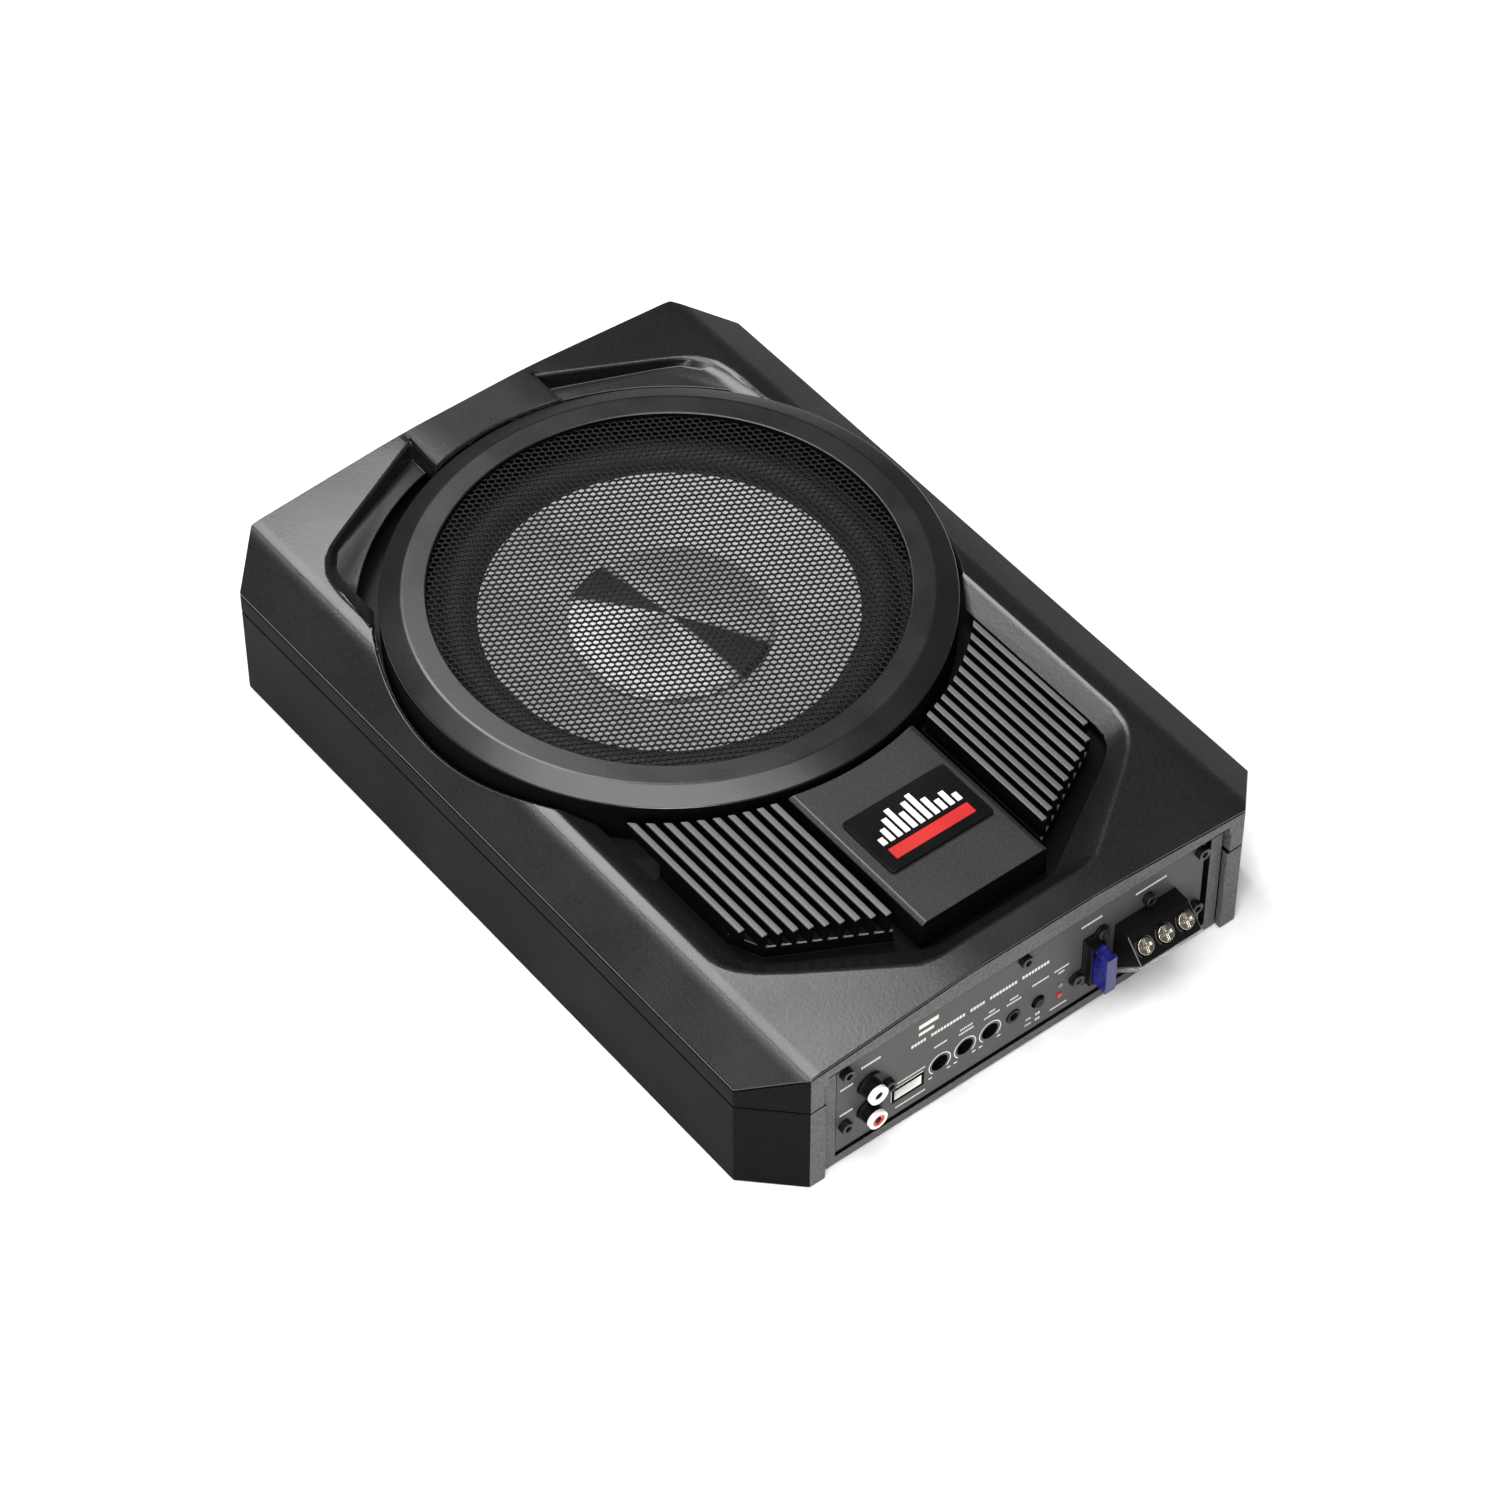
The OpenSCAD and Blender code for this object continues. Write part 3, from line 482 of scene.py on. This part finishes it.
def piece(name, mesh, slot, body="case", instead_of=(), angle=40, material=None):
    """A shown piece of the mesh, with its finish, its body and the nodes it stands for."""
    data = bpy.data.meshes.new(name)
    mesh.normal_update()
    mesh.to_mesh(data)
    mesh.free()
    data.materials.append(MATERIALS[material or slot])
    smoothed(data, angle)
    made = bpy.data.objects.new(name, data)
    bpy.context.collection.objects.link(made)
    if body:
        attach(made, body)
    if instead_of:
        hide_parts(*instead_of)
    return made


def solid_of(node):
    """A node's mesh with shared corners and whole flat faces."""
    mesh = bmesh.new()
    mesh.from_mesh(NODES[node].data)
    bmesh.ops.remove_doubles(mesh, verts=mesh.verts, dist=0.002 * MM)
    bmesh.ops.dissolve_limit(mesh, angle_limit=math.radians(0.3), verts=mesh.verts,
                             edges=mesh.edges, delimit=set())
    return mesh


def rounded(mesh, width, segments=2, angle=30, chosen=None):
    """Rounds the edges that turn by more than angle, or those among them that chosen picks."""
    edges = [e for e in mesh.edges if e.is_manifold
             and e.calc_face_angle(0) > math.radians(angle) and (chosen is None or chosen(e))]
    bmesh.ops.bevel(mesh, geom=edges, offset=width, segments=segments, profile=0.5,
                    affect="EDGES", clamp_overlap=False)


def refinish(made, material, picked):
    """Another material for the faces that picked chooses by their centre and normal."""
    made.data.materials.append(MATERIALS[material])
    for face in made.data.polygons:
        if picked(face.center, face.normal):
            face.material_index = len(made.data.materials) - 1


def weighted(made):
    made.modifiers.new("flat_faces_first", "WEIGHTED_NORMAL").keep_sharp = True
    return made


def quartered(mesh, lowest, highest):
    """Divides the flat faces that run around a large opening, so that each fills cleanly."""
    centre = (lowest + highest) / 2
    half = (highest - lowest) / 2
    for axis in (0, 1):
        normal = Vector((1 - axis, axis, 0))
        for part in (-0.85, 0, 0.85):
            bmesh.ops.bisect_plane(mesh, geom=mesh.verts[:] + mesh.edges[:] + mesh.faces[:],
                                   dist=0.001 * MM, plane_no=normal,
                                   plane_co=centre + normal * half[axis] * part)


def softened(node, slot, width, segments=2, body="case", angle=30, divided=False):
    """A node's own shape with its sharp edges rounded, shown in its place."""
    mesh = solid_of(node)
    if divided:
        quartered(mesh, *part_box(node))
    rounded(mesh, width * MM, segments, angle)
    return weighted(piece(node + "_shell", mesh, slot, body, (node,), 50))


def arc(x, z, radius, start, stop, steps):
    """Points on an arc, in millimetres and degrees."""
    turns = [math.radians(start + (stop - start) * i / steps) for i in range(steps + 1)]
    return [(x + radius * math.cos(t), z + radius * math.sin(t)) for t in turns]


def lathe(mesh, profile, centre, start=0, stop=360, segments=192):
    """Carries a closed profile of radius and height, in millimetres, about a vertical axis."""
    full = abs(stop - start) >= 360
    turns = [math.radians(start + (stop - start) * i / segments)
             for i in range(segments if full else segments + 1)]
    rings = []
    for t in turns:
        ring = []
        for r, z in profile:
            if r == 0 and rings:
                ring.append(rings[0][len(ring)])
            else:
                ring.append(mesh.verts.new((centre.x + r * MM * math.cos(t),
                                            centre.y + r * MM * math.sin(t), z * MM)))
        rings.append(ring)
    pairs = zip(rings, rings[1:] + rings[:1]) if full else zip(rings, rings[1:])
    for a, b in pairs:
        for k in range(len(profile)):
            j = (k + 1) % len(profile)
            corners = [a[k], b[k], b[j], a[j]]
            corners = list(dict.fromkeys(corners))
            if len(corners) > 2:
                mesh.faces.new(corners)
    if not full:
        mesh.faces.new(rings[0])
        mesh.faces.new(list(reversed(rings[-1])))
    bmesh.ops.recalc_face_normals(mesh, faces=mesh.faces)


def slab(mesh, x0, x1, y0, y1, z0, z1):
    """Block between corners given in metres."""
    corners = [mesh.verts.new((x, y, z)) for x in (x0, x1) for y in (y0, y1) for z in (z0, z1)]
    for face in ((0, 1, 3, 2), (4, 6, 7, 5), (0, 4, 5, 1), (2, 3, 7, 6), (0, 2, 6, 4), (1, 5, 7, 3)):
        mesh.faces.new([corners[i] for i in face])


# --- Case ------------------------------------------------------------------------------

def eased(x, corner, reach, turn):
    """Drop of a rounded corner of the lid's line below its sharp one."""
    away = reach - abs(abs(x) - corner)
    return turn * away * away / (4 * reach) if away > 0 else 0


def ease_crown(mesh):
    """Rounds the lid's line where its slope changes: twice on each side."""
    cuts = 6
    inner_turn = (CROWN_Z - CREASE_Z) / (CREASE_X - CROWN_X)
    outer_turn = (CREASE_Z - BEVEL_Z) / (HALF_WIDTH - CREASE_X) - inner_turn
    rounds = ((CROWN_X, 14 * MM, inner_turn), (CREASE_X, 4.5 * MM, outer_turn))
    for corner, reach, turn in rounds:
        for side in (-1, 1):
            for step in range(-cuts, cuts + 1):
                x = side * (corner + step * reach / cuts)
                bmesh.ops.bisect_plane(mesh, geom=mesh.verts[:] + mesh.edges[:] + mesh.faces[:],
                                       dist=0.001 * MM, plane_co=(x, 0, 0), plane_no=(1, 0, 0))
    for v in mesh.verts:
        if v.co.z > BEVEL_Z - 1.5 * MM:
            v.co.z -= sum(eased(v.co.x, *r) for r in rounds)


def lid_height(x):
    x = abs(x)
    if x < CROWN_X:
        return CROWN_Z
    if x < CREASE_X:
        return CROWN_Z - (CROWN_Z - CREASE_Z) * (x - CROWN_X) / (CREASE_X - CROWN_X)
    return CREASE_Z - (CREASE_Z - BEVEL_Z) * (x - CREASE_X) / (HALF_WIDTH - CREASE_X)


def on_top(v):
    return abs(v.co.z - lid_height(v.co.x)) < 0.06 * MM


def inside_outline(v):
    """True for a corner that isn't on the case's own outline."""
    margin = 0.1 * MM
    x = abs(v.co.x)
    y = abs(v.co.y - CASE_Y)
    return (x < HALF_WIDTH - margin and y < HALF_LENGTH - margin
            and x + y < HALF_WIDTH + HALF_LENGTH - CORNER_CUT - margin)


def make_lid():
    mesh = solid_of("lid")
    rounded(mesh, 1.5 * MM, 3, 20,
            lambda e: all(on_top(v) and inside_outline(v) for v in e.verts))
    rounded(mesh, 0.45 * MM, 2, 32)
    ease_crown(mesh)
    lid = weighted(piece("lid_shell", mesh, "lid_paint", "case", ("lid",), 50))
    # Painted shade on the recess floor between the fins and the lip.
    refinish(lid, "painted_shade", recess_floor)


def recess_floor(c, n):
    """The front recess's faces below the rim, which get painted shade."""
    return (c.z < RECESS_FLOOR_Z and CASE_Y - HALF_LENGTH + 14 * MM < c.y < CASE_Y
            and abs(c.x) < HALF_WIDTH - 12 * MM)


def case_front(c, n):
    """The front faces, and the inner side of the right leg: these get painted light."""
    beside_leg = HALF_WIDTH - 30 * MM < c.x < HALF_WIDTH - 20 * MM
    return c.y < FRONT_Y and (n.y < -0.9 or n.x < -0.5 and beside_leg)


def ledge(c, n):
    """A face that looks up, from the case's seam to the lid: these get painted shade."""
    return n.z > 0.5 and c.z > BELOW_SEAM_Z


def upright(c, n):
    return abs(n.z) < 0.3


def fin_light(c, n):
    """The fins' tops and left shoulders, and the front edge of the block that they stand on: the
    faces with a painted highlight.
    """
    on_fin = c.z > lid_height(c.x) + 1.5 * MM
    on_plinth = abs(c.z - PLINTH_Z) < 0.6 * MM and n.y < -0.2 and 0.2 < n.z < 0.95
    return on_plinth or on_fin and (n.z > 0.9 or n.y < -0.3 or n.x < -0.3 and c.x < 0)


def make_case():
    make_lid()
    for node, width in (("upper_housing", 0.35), ("lower_tray", 0.5)):
        shell = softened(node, "case_paint", width, divided=True)
        # Painted light on the front faces and the right leg's inner side.
        refinish(shell, "front_frame", case_front)
        # Painted shade on the up-facing faces under the lid's edge.
        refinish(shell, "painted_shade", ledge)
    ring = softened("trim_ring", "ring_paint", 0.7, 3, angle=20)
    # Painted shade on the ring's upright walls.
    refinish(ring, "painted_shade", upright)
    plate = softened("centre_plate", "lid_paint", 0.4, angle=20)
    # Painted light on the plate's top and painted shade on its sides.
    refinish(plate, "plate_paint", lambda c, n: n.z > 0.85)
    refinish(plate, "painted_shade", lambda c, n: abs(n.z) < 0.8)
    sink = softened("heat_sink", "heat_sink", 0.45)
    # Painted highlights on the fins' tops, left shoulders and the block's front edge.
    refinish(sink, "fin_edge", fin_light)
    panel = softened("control_panel", "panel_paint", 0.15)
    # Painted shade on the panel's edges and hole walls.
    refinish(panel, "painted_shade", lambda c, n: abs(n.y) < 0.5)


# --- Driver ----------------------------------------------------------------------------

def make_grille():
    """Perforated disc: hexagonal holes with their lattice lines along Y."""
    pitch = 2.8 * MM
    hole = 1.27 * MM
    top = high("grille").z
    reach = high("trim_ring").x * GRILLE_SHARE
    column = pitch * math.sqrt(3) / 2
    mesh = bmesh.new()
    corners = {}

    def corner(x, y):
        key = (round(x / (0.01 * MM)), round(y / (0.01 * MM)))
        if key not in corners:
            corners[key] = mesh.verts.new((DRIVER.x + x, DRIVER.y + y, top))
        return corners[key]

    turns = [(math.cos(math.radians(60 * k)), math.sin(math.radians(60 * k))) for k in range(6)]
    side = pitch / math.sqrt(3)
    count = int(reach / column) + 1
    for i in range(-count, count + 1):
        for j in range(-count, count + 1):
            x, y = i * column, (j + (i % 2) / 2) * pitch
            if math.hypot(x, y) > reach:
                continue
            outer = [corner(x + side * c, y + side * s) for c, s in turns]
            inner = [mesh.verts.new((DRIVER.x + x + hole * c, DRIVER.y + y + hole * s, top))
                     for c, s in turns]
            for k in range(6):
                n = (k + 1) % 6
                mesh.faces.new((outer[k], outer[n], inner[n], inner[k]))
    made = piece("perforated_grille", mesh, "black_metal", "case", ("grille",), 30)
    sheet = made.modifiers.new("sheet", "SOLIDIFY")
    sheet.thickness = 0.8 * MM
    sheet.offset = -1
    rim = bmesh.new()
    z0 = top / MM - 0.9
    z1 = top / MM - 0.1
    lathe(rim, [(92.2, z0), (99.8, z0), (99.8, z1), (92.2, z1)], DRIVER)
    piece("grille_rim", rim, "black_metal")


def make_surround():
    """Rubber half roll, in sectors that stretch between the frame and the cone."""
    outer = arc(ROLL_RADIUS, ROLL_Z, ROLL_OUTSIDE, 0, 180, 16)
    inner = arc(ROLL_RADIUS, ROLL_Z, ROLL_INSIDE, 180, 0, 16)
    profile = [(92, 57), (92, 57.8), (88.6, 57.9)] + outer[1:-1] + [
        (73.4, 57.9), (73.3, 57.0), (75, 57)] + inner[1:-1] + [(87, 57)]
    width = 360 / SECTORS
    for i in range(SECTORS):
        mesh = bmesh.new()
        lathe(mesh, profile, DRIVER, i * width, (i + 1) * width, 12)
        made = piece(f"surround_{i + 1:02d}", mesh, "rubber", None,
                     ("surround",) if i == 0 else ())
        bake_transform(made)


def make_cone():
    """The cone and, over its middle, the domed cap with a rolled edge."""
    mesh = bmesh.new()
    slope = [(25.3, 46), (34, 47.6), (44, 49.8), (54, 52.2), (63, 54.7), (70.5, 57), (72.2, 57.8)]
    under = [(73, 57.8), (73, 56.8), (71.4, 56.6), (63, 53.7), (54, 51.2), (44, 48.8), (34, 46.6),
             (25.3, 45)]
    lathe(mesh, slope + under, DRIVER)
    piece("cone_shell", mesh, "silver_cone", "cone_assembly", ("speaker_cone",), 50)
    mesh = bmesh.new()
    dome = [(0, CAP_TOP)] + [(r, CAP_TOP - CAP_DROP * (r / CAP_DOME_RADIUS) ** 2)
                             for r in range(4, CAP_DOME_RADIUS, 3)]
    edge = arc(38.2, 51.1, 0.95, 80, -20, 5)
    lathe(mesh, dome + edge + [(40, 50.2), (39.9, 49.85), (38.4, 49.85), (37, 51), (20, 53.1),
                               (0, 53.9)], DRIVER)
    piece("dust_cap_shell", mesh, "spun_metal", "cone_assembly", ("dust_cap",), 50)


# --- Badge -----------------------------------------------------------------------------

def make_badge():
    """Plain plate with level bars over a red band."""
    mesh = solid_of("badge")
    corners = [e for e in mesh.edges if abs(e.verts[0].co.z - e.verts[1].co.z) > 0.5 * MM]
    bmesh.ops.bevel(mesh, geom=corners, offset=1.6 * MM, segments=4, profile=0.5, affect="EDGES")
    rounded(mesh, 0.25 * MM, 2)
    weighted(piece("badge_plate", mesh, "badge", "case", ("badge",), 50))
    lowest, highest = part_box("badge")
    centre = (lowest + highest) / 2
    top = highest.z
    sunk = top - 0.1 * MM
    proud = top + RELIEF * MM
    mesh = bmesh.new()
    for i, tall in enumerate(BAR_HEIGHTS):
        x = centre.x + (i - (len(BAR_HEIGHTS) - 1) / 2) * BAR_PITCH * MM
        foot = centre.y + BAR_FOOT * MM
        half = BAR_WIDTH / 2 * MM
        slab(mesh, x - half, x + half, foot, foot + tall * MM, sunk, proud)
    rounded(mesh, 0.2 * MM, 2)
    piece("badge_bars", mesh, "badge", material="white_enamel")
    mesh = bmesh.new()
    slab(mesh, centre.x - BAND_HALF * MM, centre.x + BAND_HALF * MM,
         centre.y + BAND_LOW * MM, centre.y + BAND_HIGH * MM, sunk, proud)
    rounded(mesh, 0.2 * MM, 2)
    piece("badge_band", mesh, "badge", material="red_ink")


# --- Panel -----------------------------------------------------------------------------

def ink_bar(mesh, x, z, wide, tall):
    slab(mesh, (x - wide / 2) * MM, (x + wide / 2) * MM, PANEL_Y - INK_HALF * MM,
         PANEL_Y + INK_HALF * MM, (z - tall / 2) * MM, (z + tall / 2) * MM)


def ink_word(mesh, x, z, wide, tall):
    """A row of plain blocks where a word is printed."""
    count = max(1, round(wide / (tall * 0.95)))
    step = wide / count
    for i in range(count):
        ink_bar(mesh, x - wide / 2 + step * (i + 0.5), z, step * 0.72, tall)


def ink_ring(mesh, x, z, radius, start, stop):
    """A printed arc, in short flat blocks."""
    steps = 24
    inner = radius - RING_LINE_HALF
    outer = radius + RING_LINE_HALF
    for i in range(steps):
        a, b = (math.radians(start + (stop - start) * (i + k) / steps) for k in (0, 1))
        points = []
        for r, t in ((inner, a), (inner, b), (outer, b), (outer, a)):
            points.append(((x + r * math.cos(t)) * MM, (z + r * math.sin(t)) * MM))
        front = [mesh.verts.new((p[0], PANEL_Y - INK_HALF * MM, p[1])) for p in points]
        back = [mesh.verts.new((p[0], PANEL_Y + INK_HALF * MM, p[1])) for p in points]
        mesh.faces.new(front)
        mesh.faces.new(list(reversed(back)))
        for k in range(4):
            n = (k + 1) % 4
            mesh.faces.new((front[n], front[k], back[k], back[n]))


def make_print():
    """White print: rows of plain blocks where the words are, rings about the trimmers."""
    mesh = bmesh.new()
    # Middle x and z, width and height of each word, in millimetres.
    labels = [(-72, 46, 9, 1.1), (-83, 40.5, 6, 0.9), (-83, 26, 6, 0.9), (-53, 24, 13, 0.8),
              (-53, 10.5, 14, 0.8), (-39.5, 31.5, 6, 0.9), (-27.5, 32, 6, 0.9),
              (-27.5, 29.8, 7, 0.9), (-15.5, 32, 3, 0.9), (-15.5, 29.8, 7.5, 0.9),
              (-5, 31.5, 4, 0.9), (-5, 29.3, 7, 0.9), (7.5, 31.5, 8, 0.9), (17.5, 31.5, 7, 0.9),
              (17.5, 29.3, 3, 0.9), (31, 47.5, 10, 1.0), (59.5, 47.5, 15, 1.0),
              (7, 13.5, 2.4, 1.3), (7, 10.5, 2.4, 1.3), (2.5, 13.5, 2.5, 0.8),
              (2.5, 10.5, 3, 0.8), (17, 10.5, 8, 0.8)]
    for label in labels:
        ink_word(mesh, *label)
    title_words = (7, 16, 7, 13, 13)
    title_z = 40
    space = 2.2
    x = -53.5
    for wide in title_words:
        ink_word(mesh, x + wide / 2, title_z, wide, 1.6)
        x += wide + space
    for i, wide in enumerate((9, 7)):
        ink_bar(mesh, -50 + wide / 2, 48.5 - i * 4, wide, 2.2 - i * 0.6)
    for node in ("gain_trimmer", "boost_trimmer", "crossover_trimmer"):
        dial = middle(node)
        ink_ring(mesh, dial.x / MM, dial.z / MM, RING_RADIUS, -50, 230)
        for side in (-1, 1):
            ink_bar(mesh, dial.x / MM + side * 4.3, dial.z / MM - 5.8, 1.6, 0.7)
    piece("panel_print", mesh, "white_plastic", material="white_ink")


def whole(c, n):
    return True


def make_panel_parts():
    """The panel's fittings, with the width of each one's rounded edges in millimetres."""
    softened("panel_screws", "black_steel", 0.25)
    jacks = softened("input_jack_body", "black_plastic", 0.2)
    sleeve_end = low("input_jack_body").y + 0.5 * MM
    refinish(jacks, "white_plastic", lambda c, n: c.y < sleeve_end)
    softened("left_jack_insert", "white_plastic", 0.25)
    red = softened("right_jack_insert", "red_plastic", 0.25)
    refinish(red, "jack_face", whole)
    socket = softened("speaker_input_socket", "white_plastic", 0.2)
    # Painted shade on the socket's front faces.
    refinish(socket, "painted_shade", lambda c, n: c.y < PANEL_Y + 0.1 * MM)
    softened("remote_jack", "black_plastic", 0.2)
    softened("phase_button", "black_plastic", 0.3, body="phase_control")
    softened("fuse_holder", "black_plastic", 0.25)
    softened("fuse", "fuse_blue", 0.35, 3, body="blade_fuse")
    block = softened("terminal_block", "black_plastic", 0.35)
    # Painted highlights on the bevels along the sloped front.
    refinish(block, "fin_edge", lambda c, n: 0.25 < abs(n.x) < 0.95 and n.y < -0.2)
    softened("terminal_guard", "clear_plastic", 0.2)
    for name in ("supply", "ground", "turn_on"):
        softened(name + "_screw", "nickel", 0.2, body=name + "_clamp_screw")
    for name in ("gain", "boost", "crossover"):
        dial = softened(name + "_trimmer", "black_plastic", 0.12, body=name + "_control")
        # Painted shade over the whole trimmer.
        refinish(dial, "painted_shade", whole)
    make_print()


# --- Everything else keeps its own solid -----------------------------------------------

def finish_the_rest():
    """Gives each CAD node its slot's material."""
    for node in NODES.values():
        for i, held in enumerate(node.data.materials):
            if held and held.name in MATERIALS:
                node.data.materials[i] = MATERIALS[held.name]


add_camera()
add_studio()
MATERIALS = make_materials()
add_floor()
make_case()
make_grille()
make_surround()
make_cone()
make_badge()
make_panel_parts()
finish_the_rest()
